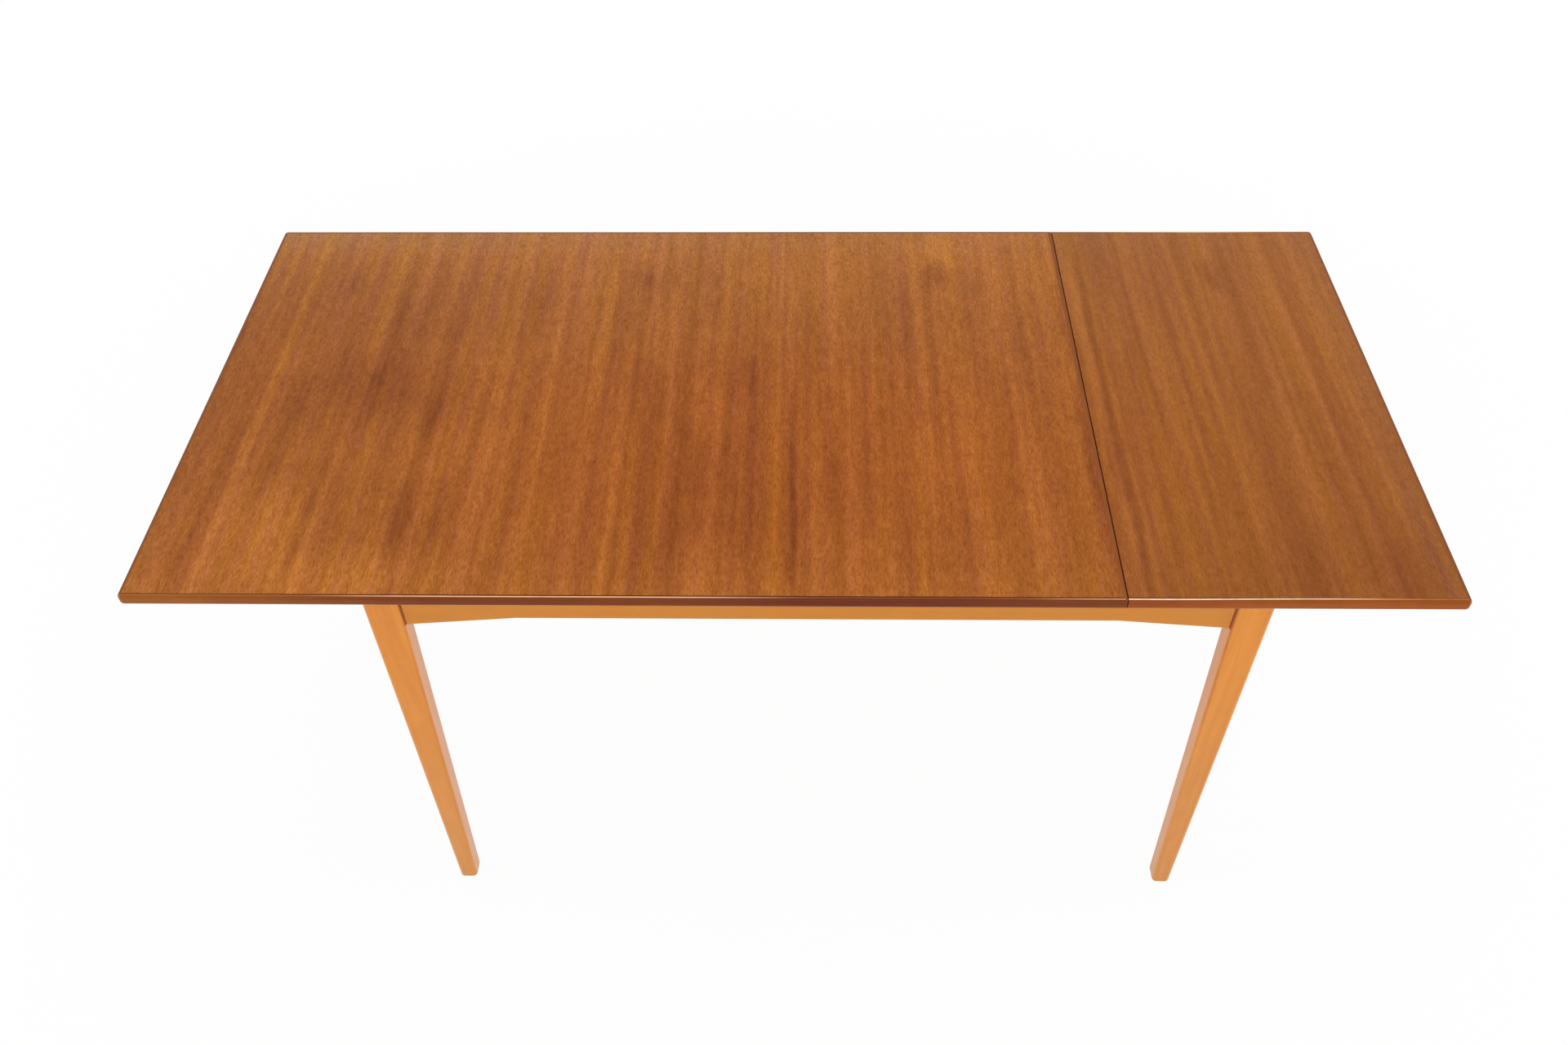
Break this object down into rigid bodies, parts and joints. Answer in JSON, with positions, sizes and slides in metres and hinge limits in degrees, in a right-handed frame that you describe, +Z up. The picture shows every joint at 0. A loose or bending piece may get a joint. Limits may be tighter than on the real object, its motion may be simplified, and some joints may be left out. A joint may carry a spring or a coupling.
{
  "type": "extending dining table",
  "caption": "Dining table with tapered legs, an off-centre top that slides along its frame, and a loose leaf that continues the top at one end.",
  "frame": {"origin": "on the floor under the middle of the extended top", "axes": "+X along the length towards the leaf, +Y from the front to the back, +Z up"},
  "size_m": [1.6676, 0.785, 0.74],
  "materials": {
    "main_veneer": "satin lacquer, reddish brown straight-grained veneer",
    "leaf_veneer": "satin lacquer, browner straight-grained veneer",
    "main_lipping": "satin lacquer, dark red-brown solid edging",
    "leaf_lipping": "satin lacquer, orange-brown solid edging",
    "backing_veneer": "plain backing veneer, thinly sealed",
    "panel_core": "bare core board",
    "leg_wood": "satin lacquer, honey-coloured hardwood",
    "rail_wood": "satin lacquer, honey-coloured hardwood",
    "inner_hardwood": "planed hardwood without stain",
    "screw_steel": "plain steel wood screws"
  },
  "bodies": {
    "frame": {"front_left_leg": "leg_wood", "front_right_leg": "leg_wood", "back_left_leg": "leg_wood", "back_right_leg": "leg_wood", "front_rail": "rail_wood", "back_rail": "rail_wood", "left_end_rail": "rail_wood", "right_end_rail": "rail_wood", "left_cross_rail": "inner_hardwood", "right_cross_rail": "inner_hardwood", "front_ledge": "inner_hardwood", "back_ledge": "inner_hardwood", "ledge_screws": "screw_steel", "front_left_corner_block": "inner_hardwood", "front_right_corner_block": "inner_hardwood", "back_left_corner_block": "inner_hardwood", "back_right_corner_block": "inner_hardwood", "corner_block_screws": "screw_steel"},
    "main_top": {"main_core": "panel_core", "main_face_veneer": "main_veneer", "main_backing_veneer": "backing_veneer", "main_front_lipping": "main_lipping", "main_back_lipping": "main_lipping", "main_left_lipping": "main_lipping", "main_right_lipping": "main_lipping", "front_runner": "inner_hardwood", "back_runner": "inner_hardwood", "runner_screws": "screw_steel"},
    "leaf": {"leaf_core": "panel_core", "leaf_face_veneer": "leaf_veneer", "leaf_backing_veneer": "backing_veneer", "leaf_seam_veneer": "leaf_veneer", "leaf_front_lipping": "leaf_lipping", "leaf_back_lipping": "leaf_lipping", "leaf_end_lipping": "leaf_lipping", "leaf_front_bearer": "inner_hardwood", "leaf_back_bearer": "inner_hardwood", "bearer_screws": "screw_steel"}
  },
  "joints": [
    {"name": "top_slide", "type": "slide", "parent": "frame", "child": "main_top", "axis": [1, 0, 0], "range_m": [0, 0.243]},
    {"name": "leaf_pull", "type": "slide", "parent": "main_top", "child": "leaf", "axis": [1, 0, 0], "range_m": [0, 0.16]}
  ]
}
